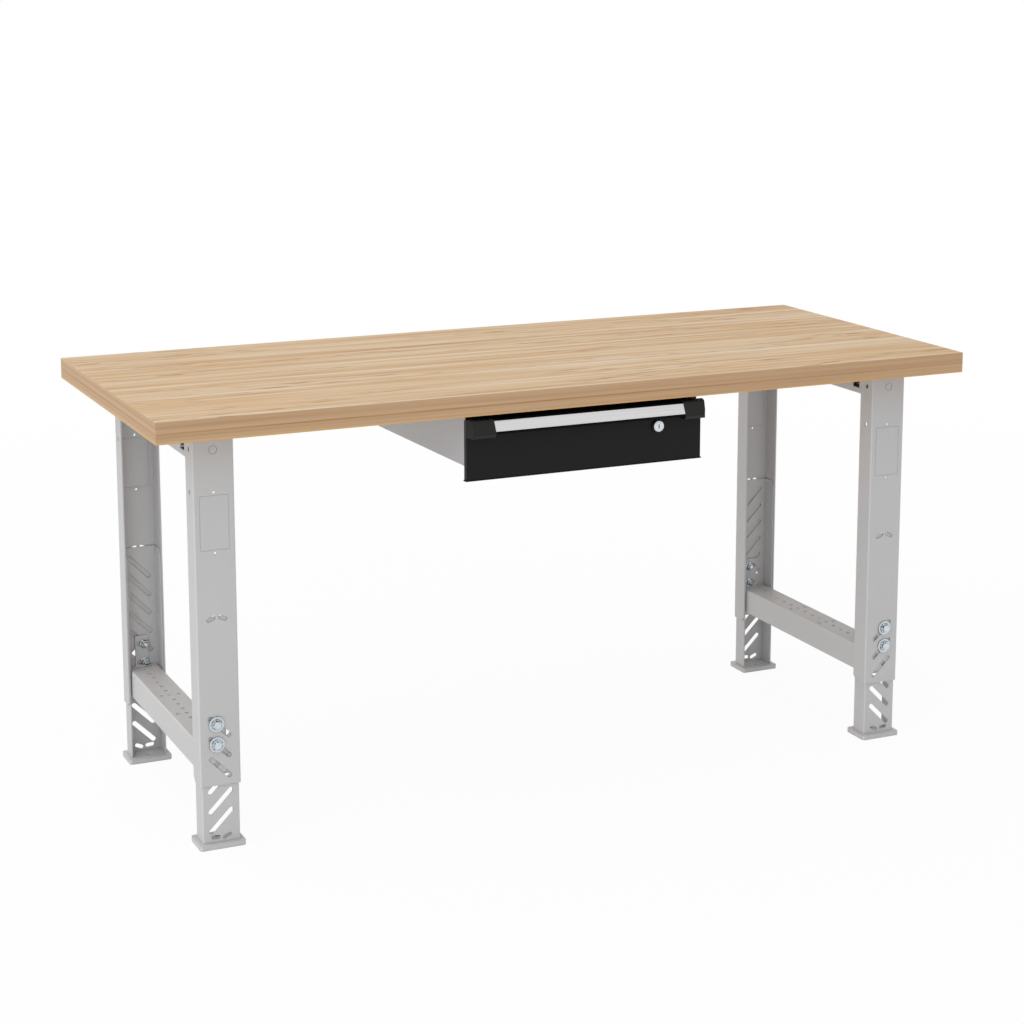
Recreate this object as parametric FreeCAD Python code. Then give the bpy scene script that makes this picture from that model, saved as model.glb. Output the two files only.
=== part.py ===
"""Height-adjustable workbench with a laminated wooden top and a locking drawer.

Frame: X along the bench, front towards -Y, Z up, origin on the floor under the middle of the top.
All sizes are millimetres.
"""
import FreeCAD, Part
import math
import os

V = FreeCAD.Vector
os.makedirs("parts", exist_ok=True)

# Worktop
top_length = 1829.0
top_depth = 762.0
top_thickness = 44.5
top_arris = 1.5

# Leg channels
leg_width = 84.0
leg_flange = 47.0
leg_sheet = 2.7
leg_bend = 3.6
leg_slip = 0.3
leg_end_setback = 94.0
leg_edge_setback = 85.0
leg_corner_cut = 10.0
upper_leg_length = 721.5
lower_leg_length = 468.0
lower_flange_setback = 2.0

# Foot plates
foot_width = 95.0
foot_depth = 70.0
foot_thickness = 10.0
foot_corner = 6.0
foot_overhang = 12.0
anchor_hole = 11.0
anchor_from_edge = 46.0

# Crossing height slots and the setting that the bolts hold
slot_pitch = 42.0
slot_width = 10.5
upper_slot_count = 3
upper_slot_reach = 37.0
upper_slot_margin = 37.5
lower_slot_count = 10
lower_slot_reach = 42.0
lower_slot_margin = 44.0
slots_below_count = 5
bolt_offset = 6.25

# Small paired slots
pair_length = 20.0
pair_width = 9.0
pair_spacing = 24.0
pair_tilt = 25.0
foot_pair_tilt = 5.0
upper_pair_height = 344.5
foot_pair_height = 11.0

# Knock-outs, pilot holes and flange slots of the upper legs, measured down from the leg's top
knock_ring = 17.5
knock_ring_drop = 37.0
knock_panel_width = 60.0
knock_panel_height = 111.0
knock_panel_drop = 183.0
knock_panel_corner = 3.0
knock_line = 1.3
knock_depth = 0.5
pilot_hole = 5.0
pilot_clear = 5.5
flange_slot_width = 9.0
flange_slot_length = 10.5
flange_slot_drop = 36.5
flange_slot_pitch = 86.0

# Height bolts
bolt_shank = 9.5
bolt_hex = 14.3
bolt_head = 6.0
bolt_flange = 21.0
bolt_flange_thickness = 2.2
bolt_tail = 3.0
washer_diameter = 32.0
washer_thickness = 2.5
nut_height = 9.0
clamp_gap = 0.1

# Lower stretchers
stretcher_width = 68.0
stretcher_height = 57.0
stretcher_sheet = 2.7
stretcher_bend = 4.0
stretcher_drop = 7.75
tab_width = 30.0
tab_sheet = 3.0
tab_rise = 19.0
tab_travel = 12.5
tab_corner = 3.0
nut_room = 2.0
perforation = 9.0
perforation_pitch = 31.75
perforation_end = 10.0
perforation_pair_y = 63.5
perforation_pair_x = 19.0

# End-frame top rails
rail_height = 58.5
access_width = 27.0
access_height = 30.0
access_from_leg = 6.0
access_from_bottom = 13.0
top_screw_shank = 6.0
top_screw_head = 12.0
top_screw_head_height = 4.0
top_screw_grip = 30.0
top_screw_clear = 0.3
top_screw_spread = 44.0
top_screw_pitch = 300.0
driver_hole = 16.0

# Drawer housing hung under the worktop
housing_width = 531.0
housing_depth = 500.0
housing_front_height = 109.5
housing_fall = 9.5
housing_sheet = 1.5
housing_top_flange = 25.0
housing_bottom_lip = 13.0
catch_depth = 60.0
catch_drop = 13.5
housing_screw_pitch = 360.0
housing_screw_from_front = 80.0
housing_screw_shank = 5.0
housing_screw_head = 9.5

# Drawer front, set back from the worktop's edge
front_overlap = 3.0
front_height = 123.0
front_depth = 12.0
front_sheet = 1.5
front_setback = 25.5
front_gap = 2.0
front_drop = 13.5
front_hem_overhang = 2.0
front_hem_height = 2.0

# Drawer tray and its telescopic runners
tray_back_room = 31.0
tray_height = 88.0
tray_sheet = 1.2
tray_hem = 8.0
tray_drop = 17.5
runner_length = 460.0
runner_thickness = 12.7
runner_height = 45.0
runner_sheet = 1.5
runner_gap = 0.4
runner_lip = 4.5
runner_setback = 3.5

# Full-width handle with a pale strip between end caps
handle_sheet = 2.0
handle_reach = 17.0
handle_slope_reach = 14.0
handle_slope_drop = 27.0
handle_curl = 5.0
handle_back = 10.5
strip_width = 22.5
strip_thickness = 1.2
strip_margin = 3.5
cap_length = 54.7
cap_overhang = 2.2
cap_skin = 1.6
cap_drop = 35.5
cap_round = 3.0
cap_nose_round = 6.0
cap_end_flat = 3.0
cap_end_taper = 8.0
cap_end_round = 8.0

# Lock
lock_from_end = 101.5
lock_drop = 61.0
lock_bezel = 30.0
lock_bezel_height = 3.5
lock_bezel_wall = 3.0
lock_flange = 1.0
lock_face_proud = 1.2
lock_barrel = 19.0
lock_barrel_length = 21.5
lock_plug = 14.0
lock_run = 0.3
lock_nut_width = 24.0
lock_nut_height = 4.0
cam_length = 52.0
cam_width = 15.0
cam_sheet = 3.0
cam_heel_round = 6.75
cam_tip_round = 3.75
key_slot_length = 9.0
key_slot_width = 2.2
key_slot_depth = 2.0

# Places that follow from the sizes above
setting_height = foot_thickness + lower_slot_margin + slots_below_count * slot_pitch
bolt_high = setting_height - bolt_offset
bolt_low = bolt_high - slot_pitch
upper_slot_top = bolt_high - bolt_offset
upper_leg_bottom = upper_slot_top - (upper_slot_count - 1) * slot_pitch - upper_slot_margin
underside = upper_leg_bottom + upper_leg_length
worktop_face = underside + top_thickness
leg_x = -(top_length / 2 - leg_end_setback - leg_width / 2)
web_y = -(top_depth / 2 - leg_edge_setback)
flange_y = web_y + leg_flange
lower_web_y = web_y + leg_sheet + leg_slip
lower_width = leg_width - 2 * (leg_sheet + leg_slip)
lower_flange = leg_flange - leg_sheet - leg_slip - lower_flange_setback
tab_y = lower_web_y + leg_sheet + clamp_gap
nut_y = tab_y + tab_sheet
stretcher_top = bolt_low - stretcher_drop
front_y = -(top_depth / 2 - front_setback)
front_top = underside - front_drop
tray_y = front_y + front_sheet
tray_top = underside - tray_drop
housing_y = front_y + front_depth + front_gap
housing_inner = housing_width / 2 - housing_sheet
front_width = housing_width + 2 * front_overlap
tray_depth = housing_y + housing_depth - housing_sheet - tray_back_room - tray_y
tray_half = housing_inner - runner_thickness
runner_z = tray_top - tray_height / 2
runner_y = housing_y + runner_setback
lock_x = front_width / 2 - lock_from_end
lock_z = underside - lock_drop
handle_end = front_width / 2 + cap_overhang
strip_half = handle_end - cap_length


def in_xy(u, v):
    return V(u, v, 0)


def in_xz(u, v):
    return V(u, 0, v)


def in_yz(u, v):
    return V(0, u, v)


def outline(corners, plane):
    """Flat face through corners (u, v) or (u, v, radius), each radius rounding its own corner."""
    points = [plane(corner[0], corner[1]) for corner in corners]
    stops = []
    for index, corner in enumerate(corners):
        here = points[index]
        if len(corner) == 2:
            stops.append((here, None, here))
            continue
        back = (points[index - 1] - here).normalize()
        ahead = (points[(index + 1) % len(points)] - here).normalize()
        half = back.getAngle(ahead) / 2
        reach = corner[2] / math.tan(half)
        middle = here + (back + ahead).normalize() * (corner[2] / math.sin(half) - corner[2])
        stops.append((here + back * reach, middle, here + ahead * reach))
    edges = []
    for index, (start, middle, end) in enumerate(stops):
        if middle is not None:
            edges.append(Part.Arc(start, middle, end).toShape())
        after = stops[(index + 1) % len(stops)][0]
        if end.distanceToPoint(after) > 1e-6:
            edges.append(Part.LineSegment(end, after).toShape())
    return Part.Face(Part.Wire(edges))


def box(x0, x1, y0, y1, z0, z1):
    return Part.makeBox(x1 - x0, y1 - y0, z1 - z0, V(x0, y0, z0))


def rod_y(radius, x, y0, y1, z):
    """Round bar along Y between two stations."""
    return Part.makeCylinder(radius, y1 - y0, V(x, y0, z), V(0, 1, 0))


def hex_y(across_flats, x, y0, y1, z):
    """Hexagonal bar along Y between two stations."""
    radius = across_flats / math.sqrt(3)
    turns = [math.radians(60 * step) for step in range(6)]
    corners = [(x + radius * math.cos(turn), z + radius * math.sin(turn)) for turn in turns]
    face = outline(corners, in_xz)
    face.translate(V(0, y0, 0))
    return face.extrude(V(0, y1 - y0, 0))


def slot_y(x, z, spread, width, angle, y0, y1):
    """Round-ended slot cutter along Y; spread is the distance between its end centres."""
    half = spread / 2
    radius = width / 2
    top = Part.LineSegment(V(-half, 0, radius), V(half, 0, radius)).toShape()
    right = Part.Arc(V(half, 0, radius), V(half + radius, 0, 0), V(half, 0, -radius)).toShape()
    low = Part.LineSegment(V(half, 0, -radius), V(-half, 0, -radius)).toShape()
    left = Part.Arc(V(-half, 0, -radius), V(-half - radius, 0, 0), V(-half, 0, radius)).toShape()
    solid = Part.Face(Part.Wire([top, right, low, left])).extrude(V(0, y1 - y0, 0))
    solid.rotate(V(0, 0, 0), V(0, 1, 0), -angle)
    solid.translate(V(x, y0, z))
    return solid


def channel(width, flange, sheet, bend):
    """Bent channel section in XY: web on y = 0, flanges towards +Y."""
    half = width / 2
    inner = bend - sheet
    hollow = half - sheet
    corners = [
        (-half, flange), (-half, 0, bend), (half, 0, bend), (half, flange),
        (hollow, flange), (hollow, sheet, inner), (-hollow, sheet, inner), (-hollow, flange),
    ]
    return outline(corners, in_xy)


def tube(width, height, sheet, bend):
    """Closed tube section in XY: top wall on y = 0, the rest towards +Y."""
    faces = []
    for inset in (0, sheet):
        half, near, far, turn = width / 2 - inset, inset, height - inset, bend - inset
        corners = [(-half, near), (half, near), (half, far), (-half, far)]
        faces.append(outline([(u, v, turn) for u, v in corners], in_xy))
    return faces[0].cut(faces[1]).Faces[0]


def leg_channel(width, flange, web, z0, z1):
    """Vertical leg channel at the front left, web outwards."""
    section = channel(width, flange, leg_sheet, leg_bend)
    section.translate(V(leg_x, web, z0))
    return section.extrude(V(0, 0, z1 - z0))


def corner_cuts(width, flange_end, z, direction):
    """Wedge that chamfers both flange corners at one end of a leg."""
    outer = width / 2 + 1
    beyond = flange_end + 1
    corners = [
        (beyond, z + direction * (leg_corner_cut + 1)), (flange_end - leg_corner_cut, z),
        (flange_end - leg_corner_cut, z - direction), (beyond, z - direction),
    ]
    wedge = outline(corners, in_yz)
    wedge.translate(V(leg_x - outer, 0, 0))
    return wedge.extrude(V(2 * outer, 0, 0))


def slanted_pair(z, web, tilt_left, tilt_right):
    """Two small slots side by side in a leg's web."""
    spread = pair_length - pair_width
    y0 = web - 1
    y1 = web + leg_sheet + 1
    left = slot_y(leg_x - pair_spacing / 2, z, spread, pair_width, tilt_left, y0, y1)
    right = slot_y(leg_x + pair_spacing / 2, z, spread, pair_width, tilt_right, y0, y1)
    return [left, right]


def knock_outs(y0, y1):
    """Thin outlines of a round and a rectangular knock-out, between two depths of the web."""
    ring_z = underside - knock_ring_drop
    outer = rod_y(knock_ring / 2, leg_x, y0, y1, ring_z)
    ring = outer.cut(rod_y(knock_ring / 2 - knock_line, leg_x, y0, y1, ring_z))
    panel_z = underside - knock_panel_drop
    faces = []
    for inset in (0, knock_line):
        u = knock_panel_width / 2 - inset
        w = knock_panel_height / 2 - inset
        r = knock_panel_corner - inset
        corners = [(-u, -w, r), (u, -w, r), (u, w, r), (-u, w, r)]
        face = outline(corners, in_xz)
        face.translate(V(leg_x, y0, panel_z))
        faces.append(face.extrude(V(0, y1 - y0, 0)))
    return [ring, faces[0].cut(faces[1])]


def upper_leg():
    """Outer channel with three falling slots, knock-outs and flange slots, at the front left."""
    leg = leg_channel(leg_width, leg_flange, web_y, upper_leg_bottom, underside)
    cutters = [corner_cuts(leg_width, flange_y, upper_leg_bottom, 1)]
    through = (web_y - 1, web_y + leg_sheet + 1)
    for index in range(upper_slot_count):
        z = upper_slot_top - index * slot_pitch
        cutters.append(slot_y(leg_x, z, upper_slot_reach * math.sqrt(2), slot_width, -45, *through))
    cutters += slanted_pair(upper_leg_bottom + upper_pair_height, web_y, pair_tilt, -pair_tilt)
    cutters += knock_outs(web_y - 1, web_y + knock_depth)
    cutters += knock_outs(web_y + leg_sheet - knock_depth, web_y + leg_sheet + 1)
    panel_z = underside - knock_panel_drop
    for side in (-1, 1):
        z = panel_z + side * (knock_panel_height / 2 + pilot_clear)
        cutters.append(rod_y(pilot_hole / 2, leg_x, *through, z))
    slot_middle = (web_y + flange_y) / 2
    for index in range(2):
        z = underside - flange_slot_drop - index * flange_slot_pitch
        slot = slot_y(0, 0, flange_slot_length - flange_slot_width, flange_slot_width, 90, 0, leg_width + 2)
        slot.rotate(V(0, 0, 0), V(0, 0, 1), -90)
        slot.translate(V(leg_x - leg_width / 2 - 1, slot_middle, z))
        cutters.append(slot)
    return leg.cut(cutters)


def lower_leg():
    """Inner channel with ten rising slots, standing on its foot plate at the front left."""
    top = foot_thickness + lower_leg_length
    leg = leg_channel(lower_width, lower_flange, lower_web_y, foot_thickness, top)
    cutters = [corner_cuts(lower_width, lower_web_y + lower_flange, top, -1)]
    through = (lower_web_y - 1, lower_web_y + leg_sheet + 1)
    for index in range(lower_slot_count):
        z = foot_thickness + lower_slot_margin + index * slot_pitch
        cutters.append(slot_y(leg_x, z, lower_slot_reach * math.sqrt(2), slot_width, 45, *through))
    cutters += slanted_pair(foot_thickness + foot_pair_height, lower_web_y, -foot_pair_tilt, pair_tilt)
    return leg.cut(cutters)


def foot_plate():
    """Floor plate under the front left leg, with one anchor hole inside the channel."""
    half = foot_width / 2
    edge = lower_web_y - foot_overhang
    far = edge + foot_depth
    corners = [(-half, edge), (half, edge), (half, far), (-half, far)]
    face = outline([(u, v, foot_corner) for u, v in corners], in_xy)
    face.translate(V(leg_x, 0, 0))
    hole = Part.makeCylinder(anchor_hole / 2, foot_thickness, V(leg_x, edge + anchor_from_edge, 0))
    return face.extrude(V(0, 0, foot_thickness)).cut(hole)


def height_bolts():
    """Bolts, washers and nuts of the front left leg, as three lists of solids."""
    x = leg_x - bolt_offset
    washer_y = web_y - clamp_gap - washer_thickness
    flange_face = washer_y - bolt_flange_thickness
    nut_flange = nut_y + clamp_gap + bolt_flange_thickness
    nut_end = nut_y + clamp_gap + nut_height
    bolts, washers, nuts = [], [], []
    for z in (bolt_high, bolt_low):
        head = hex_y(bolt_hex, x, flange_face - bolt_head, flange_face, z)
        flange = rod_y(bolt_flange / 2, x, flange_face, washer_y, z)
        shank = rod_y(bolt_shank / 2, x, washer_y, nut_end + bolt_tail, z)
        bolts.append(head.fuse([flange, shank]).removeSplitter())
        hole = rod_y(slot_width / 2, x, washer_y, nut_end, z)
        washers.append(rod_y(washer_diameter / 2, x, washer_y, web_y - clamp_gap, z).cut(hole))
        collar = rod_y(bolt_flange / 2, x, nut_y + clamp_gap, nut_flange, z)
        body = hex_y(bolt_hex, x, nut_flange, nut_end, z)
        thread = rod_y(bolt_shank / 2, x, nut_y, nut_end, z)
        nuts.append(collar.fuse(body).cut(thread).removeSplitter())
    return bolts, washers, nuts


def end_plate():
    """Stretcher end plate: a full-width foot with a narrow tab slotted across for the two bolts."""
    half = stretcher_width / 2
    low = stretcher_top - stretcher_height
    tab = tab_width / 2
    high = bolt_high + tab_rise
    corners = [
        (-half, low), (half, low), (half, stretcher_top), (tab, stretcher_top),
        (tab, high, tab_corner), (-tab, high, tab_corner), (-tab, stretcher_top), (-half, stretcher_top),
    ]
    face = outline(corners, in_xz)
    face.translate(V(leg_x, tab_y, 0))
    plate = face.extrude(V(0, tab_sheet, 0))
    through = (tab_y - 1, nut_y + 1)
    holes = [slot_y(leg_x, z, tab_travel, slot_width, 0, *through) for z in (bolt_high, bolt_low)]
    return plate.cut(holes)


def stretcher():
    """Perforated channel between the left legs, open below, with an end plate at each end."""
    section = channel(stretcher_width, stretcher_height, stretcher_sheet, stretcher_bend)
    section.rotate(V(0, 0, 0), V(1, 0, 0), -90)
    section.translate(V(leg_x, nut_y, stretcher_top))
    beam = section.extrude(V(0, -2 * nut_y, 0))
    room = tab_travel + bolt_flange + 2 * nut_room
    notch_end = nut_y + nut_height + bolt_tail + nut_room
    under = stretcher_top - stretcher_sheet
    notch = box(leg_x - room / 2, leg_x + room / 2, nut_y - 1, notch_end, under, stretcher_top)
    cutters = [notch, half_turn(notch)]
    row_half_count = int((-notch_end - perforation_end) / perforation_pitch)
    row_steps = range(-row_half_count, row_half_count + 1)
    spots = [(leg_x, index * perforation_pitch) for index in row_steps]
    for side in (-1, 1):
        for row in (-1, 1):
            spots.append((leg_x + side * perforation_pair_x, row * perforation_pair_y))
    for x, y in spots:
        cutters.append(Part.makeCylinder(perforation / 2, stretcher_sheet + 2, V(x, y, under - 1)))
    plate = end_plate()
    return beam.cut(cutters).fuse([plate, half_turn(plate)]).removeSplitter()


def screw_spots():
    """Where the worktop screws pass through the left top rail."""
    xs = [leg_x - top_screw_spread / 2, leg_x + top_screw_spread / 2]
    return [(x, y) for x in xs for y in (-top_screw_pitch / 2, top_screw_pitch / 2)]


def top_rail():
    """Closed tube under the worktop between the left legs, with an access hole by each leg.

    Each worktop screw passes through the upper wall, above a driver hole in the lower one.
    """
    section = tube(leg_width, rail_height, leg_sheet, leg_bend)
    section.rotate(V(0, 0, 0), V(1, 0, 0), -90)
    section.translate(V(leg_x, flange_y, underside))
    rail = section.extrude(V(0, -2 * flange_y, 0))
    z0 = underside - rail_height + access_from_bottom
    y0 = flange_y + access_from_leg
    half = leg_width / 2 + 1
    access = box(leg_x - half, leg_x + half, y0, y0 + access_width, z0, z0 + access_height)
    cutters = [access, half_turn(access)]
    upper_hole = (top_screw_shank / 2 + top_screw_clear, underside - leg_sheet)
    lower_hole = (driver_hole / 2, underside - rail_height)
    for x, y in screw_spots():
        for radius, low in (upper_hole, lower_hole):
            cutters.append(Part.makeCylinder(radius, leg_sheet + 2, V(x, y, low - 1)))
    return rail.cut(cutters)


def wood_screw(x, y, seat, shank, head):
    """Screw driven up into the worktop, its head under the seat height."""
    body = Part.makeCylinder(shank / 2, top_screw_grip, V(x, y, seat))
    pan = Part.makeCylinder(head / 2, top_screw_head_height, V(x, y, seat - top_screw_head_height))
    return body.fuse(pan).removeSplitter()


def screw_pilot(x, y, shank):
    """Blind hole in the worktop for one screw."""
    return Part.makeCylinder(shank / 2 + top_screw_clear, top_screw_grip, V(x, y, underside))


def housing_spots():
    """Where the housing's screws pass through its top flanges."""
    x = housing_inner - housing_top_flange / 2
    y = housing_y + housing_screw_from_front
    return [(side * x, y + step * housing_screw_pitch) for side in (-1, 1) for step in (0, 1)]


def worktop(rail_spots):
    """Laminated top with blind pilot holes for its screws."""
    half_x = top_length / 2
    half_y = top_depth / 2
    slab = box(-half_x, half_x, -half_y, half_y, underside, worktop_face)
    slab = slab.makeFillet(top_arris, slab.Edges)
    holes = [screw_pilot(x, y, top_screw_shank) for x, y in rail_spots]
    holes += [screw_pilot(x, y, housing_screw_shank) for x, y in housing_spots()]
    return slab.cut(holes)


def housing():
    """Open-bottomed sheet housing: two sides, a back, top flanges and bottom lips."""
    back = housing_y + housing_depth
    low_front = underside - housing_front_height
    low_back = low_front - housing_fall
    half = housing_width / 2
    seam = underside - housing_sheet
    low_edge = [(housing_y, low_front), (back, low_back)]
    wall = outline(low_edge + [(back, underside), (housing_y, underside)], in_yz)
    lip = outline(low_edge + [(v, w + housing_sheet) for v, w in reversed(low_edge)], in_yz)
    pieces = [box(-half, half, back - housing_sheet, back, low_back, underside)]
    for sheet, width in ((wall, housing_sheet), (lip, housing_bottom_lip)):
        left = sheet.extrude(V(width, 0, 0))
        left.translate(V(-half, 0, 0))
        pieces += [left, across(left)]
    flange = box(-half, housing_top_flange - housing_inner, housing_y, back, seam, underside)
    pieces += [flange, across(flange)]
    shell = pieces[0].fuse(pieces[1:]).removeSplitter()
    radius = housing_screw_shank / 2 + top_screw_clear
    depth = housing_sheet + 2
    holes = [Part.makeCylinder(radius, depth, V(x, y, seam - 1)) for x, y in housing_spots()]
    return shell.cut(holes)


def housing_front_rail():
    """Angle across the housing's mouth, whose lip the lock cam goes behind."""
    half = housing_inner - housing_top_flange
    seam = underside - housing_sheet
    strip = box(-half, half, housing_y, housing_y + catch_depth, seam, underside)
    lip = box(-half, half, housing_y, housing_y + housing_sheet, underside - catch_drop, underside)
    return strip.fuse(lip).removeSplitter()


def tray():
    """Open drawer tray, hemmed on three sides, with a hole for the lock in its front wall."""
    low = tray_top - tray_height
    far = tray_y + tray_depth
    wall = tray_sheet
    fold = 2 * tray_sheet
    block = box(-tray_half, tray_half, tray_y, far, low, tray_top)
    inside = tray_half - wall
    mouth_half = tray_half - fold
    hollow = box(-inside, inside, tray_y + wall, far - wall, low + wall, tray_top - tray_hem)
    mouth = box(-mouth_half, mouth_half, tray_y + wall, far - fold, low + wall, tray_top)
    return block.cut([hollow, mouth, lock_hole()])


def lock_hole():
    """Clear hole for the lock barrel through the drawer front and the tray."""
    return rod_y(lock_barrel / 2 + lock_run, lock_x, front_y - 1, tray_y + tray_sheet + 1, lock_z)


def drawer_front():
    """Pressed front pan: face sheet, returns all round and a hem along the bottom edge."""
    half = front_width / 2
    low = front_top - front_height
    back = front_y + front_depth
    pan = box(-half, half, front_y, back, low, front_top)
    inside = half - front_sheet
    hollow = box(-inside, inside, tray_y, back, low + front_sheet, front_top - front_sheet)
    hem_half = half + front_hem_overhang
    hem = box(-hem_half, hem_half, front_y - front_sheet, back, low - front_hem_height, low)
    return pan.cut([hollow, lock_hole()]).fuse(hem).removeSplitter()


def handle_slope(distance, lift):
    """Point on the handle's sloping face: distance down the slope, lift out from its surface."""
    length = math.hypot(handle_slope_reach, handle_slope_drop)
    along = (-handle_slope_reach / length, -handle_slope_drop / length)
    out = (-handle_slope_drop / length, handle_slope_reach / length)
    top = (front_y - handle_reach, front_top + handle_sheet)
    return tuple(top[axis] + along[axis] * distance + out[axis] * lift for axis in (0, 1))


def handle():
    """Folded grip open below: back flange on the front pan, sloping face and a curled lip."""
    length = math.hypot(handle_slope_reach, handle_slope_drop)
    back = front_y + handle_back
    high = front_top + handle_sheet
    toe = handle_slope(length, 0)
    toe_inner = handle_slope(length - handle_sheet / 2, -handle_sheet)
    corners = [
        (back, high), (*handle_slope(0, 0), handle_sheet), (*toe, handle_sheet),
        (toe[0] + handle_curl, toe[1] - handle_sheet), (toe[0] + handle_curl, toe[1] + handle_sheet / 4),
        toe_inner, (front_y - handle_reach + handle_sheet, front_top), (back, front_top),
    ]
    face = outline(corners, in_yz)
    face.translate(V(-strip_half, 0, 0))
    return face.extrude(V(2 * strip_half, 0, 0))


def handle_strip():
    """Flat strip lying on the sloping face, between the end caps."""
    end = strip_margin + strip_width
    corners = [
        handle_slope(strip_margin, 0), handle_slope(end, 0),
        handle_slope(end, strip_thickness), handle_slope(strip_margin, strip_thickness),
    ]
    face = outline(corners, in_yz)
    face.translate(V(-strip_half, 0, 0))
    return face.extrude(V(2 * strip_half, 0, 0))


def handle_cap():
    """Right end cap: a block that follows the handle's slope and tapers forward at its outer end."""
    length = math.hypot(handle_slope_reach, handle_slope_drop)
    high = front_top + handle_sheet
    low = high - cap_drop
    nose = handle_slope(length, cap_skin)
    corners = [
        (front_y, high + cap_skin), (*handle_slope(0, cap_skin), cap_round), (*nose, cap_nose_round),
        (nose[0] + cap_nose_round, low, cap_round), (front_y, low),
    ]
    face = outline(corners, in_yz)
    face.translate(V(strip_half, 0, 0))
    plan = outline([
        (strip_half, front_y), (strip_half, nose[0]), (handle_end - cap_end_taper, nose[0], cap_end_round),
        (handle_end, front_y - cap_end_flat), (handle_end, front_y),
    ], in_xy)
    plan.translate(V(0, 0, low - 1))
    return face.extrude(V(cap_length, 0, 0)).common(plan.extrude(V(0, 0, cap_drop + cap_skin + 2)))


def turned(profile):
    """Solid of revolution about the lock's axis from (radius, y) corners."""
    face = outline(profile, in_xy)
    solid = face.revolve(V(0, 0, 0), V(0, 1, 0), 360)
    solid.translate(V(lock_x, 0, lock_z))
    return solid


def lock_case():
    """Bezel ring and barrel that stay on the drawer front."""
    bore = lock_plug / 2 + lock_run
    rim = lock_bezel / 2
    step = front_y - lock_flange
    crown = step - lock_bezel_height
    end = front_y + lock_barrel_length
    barrel = lock_barrel / 2
    return turned([
        (bore, step), (rim - lock_bezel_wall, step), (rim - lock_bezel_wall, crown), (rim, crown),
        (rim, front_y), (barrel, front_y), (barrel, end), (bore, end),
    ])


def lock_nut():
    """Hexagonal nut that draws the barrel against the tray's front wall."""
    seat = tray_y + tray_sheet
    body = hex_y(lock_nut_width, lock_x, seat, seat + lock_nut_height, lock_z)
    return body.cut(rod_y(lock_barrel / 2, lock_x, seat, seat + lock_nut_height, lock_z))


def lock_plug_body():
    """Turning plug: a wide face with a key slot and a shaft through to the cam."""
    face_radius = lock_bezel / 2 - lock_bezel_wall - lock_run
    face_back = front_y - lock_flange - lock_run
    crown = front_y - lock_flange - lock_bezel_height - lock_face_proud
    end = front_y + lock_barrel_length + lock_run + cam_sheet
    shaft = lock_plug / 2
    plug = turned([
        (0, crown), (face_radius, crown), (face_radius, face_back),
        (shaft, face_back), (shaft, end), (0, end),
    ])
    spread = key_slot_length - key_slot_width
    return plug.cut(slot_y(lock_x, lock_z, spread, key_slot_width, 90, crown - 1, crown + key_slot_depth))


def lock_cam():
    """Flat cam on the plug's shaft, lying across the tray while the lock is open."""
    half = cam_width / 2
    corners = [
        (half, -half, cam_heel_round), (half, half, cam_heel_round),
        (-cam_length, half, cam_tip_round), (-cam_length, -half, cam_tip_round),
    ]
    face = outline(corners, in_xz)
    seat = front_y + lock_barrel_length + lock_run
    face.translate(V(lock_x, seat, lock_z))
    shaft = rod_y(lock_plug / 2, lock_x, seat, seat + cam_sheet, lock_z)
    return face.extrude(V(0, cam_sheet, 0)).cut(shaft)


def runner_sections():
    """Outer, middle and inner runner sections, from the left housing wall towards the tray."""
    t = runner_sheet
    step = t + runner_gap
    sections = []
    for level in (0, 1):
        near = level * step
        far = runner_thickness - t - level * step
        high = runner_height / 2 - level * step
        tip = high - t - runner_lip
        sections.append([
            (near, -high), (far, -high), (far, -tip), (far - t, -tip),
            (far - t, t - high), (near + t, t - high), (near + t, high - t), (far - t, high - t),
            (far - t, tip), (far, tip), (far, high), (near, high),
        ])
    near = 2 * step
    high = runner_height / 2 - 2 * step
    rib = runner_height / 2 - t - runner_lip - 2 * step
    end = runner_thickness
    sections.append([
        (near, -high), (near + t, -high), (near + t, -rib), (end, -rib),
        (end, rib), (near + t, rib), (near + t, high), (near, high),
        (near, rib - t), (end - t, rib - t), (end - t, t - rib), (near, t - rib),
    ])
    return sections


def runner(section):
    """One left runner member along its full length."""
    face = outline(section, in_xz)
    face.translate(V(-housing_inner, runner_y, runner_z))
    return face.extrude(V(0, runner_length, 0))


def half_turn(shape):
    """Copy turned half round about the left end frame's middle."""
    copy = shape.copy()
    copy.rotate(V(leg_x, 0, 0), V(0, 0, 1), 180)
    return copy


def across(shape):
    """Mirror image at the bench's other end."""
    return shape.mirror(V(0, 0, 0), V(1, 0, 0))


def write(name, shape):
    if isinstance(shape, list):
        shape = Part.makeCompound(shape)
    shape.exportStep("parts/" + name + ".step")


def write_corners(name, shape):
    """The same leg piece at the four corners of the bench."""
    rear = half_turn(shape)
    write(name + "_front_left", shape)
    write(name + "_rear_left", rear)
    write(name + "_front_right", across(shape))
    write(name + "_rear_right", across(rear))


def write_ends(name, shape):
    write(name + "_left", shape)
    write(name + "_right", across(shape))


write_corners("upper_leg", upper_leg())
write_corners("lower_leg", lower_leg())
write_corners("foot_plate", foot_plate())
write_ends("stretcher", stretcher())
write_ends("top_rail", top_rail())

for kind, solids in zip(("bolts", "washers", "nuts"), height_bolts()):
    rear_left = [half_turn(solid) for solid in solids]
    write("leg_" + kind + "_a", solids + [across(solid) for solid in rear_left])
    write("leg_" + kind + "_b", rear_left + [across(solid) for solid in solids])

left_spots = screw_spots()
rail_spots = left_spots + [(-x, y) for x, y in left_spots]
write("worktop", worktop(rail_spots))
rail_seat = underside - leg_sheet
top_screw_sizes = (top_screw_shank, top_screw_head)
write("worktop_screws", [wood_screw(x, y, rail_seat, *top_screw_sizes) for x, y in rail_spots])

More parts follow.
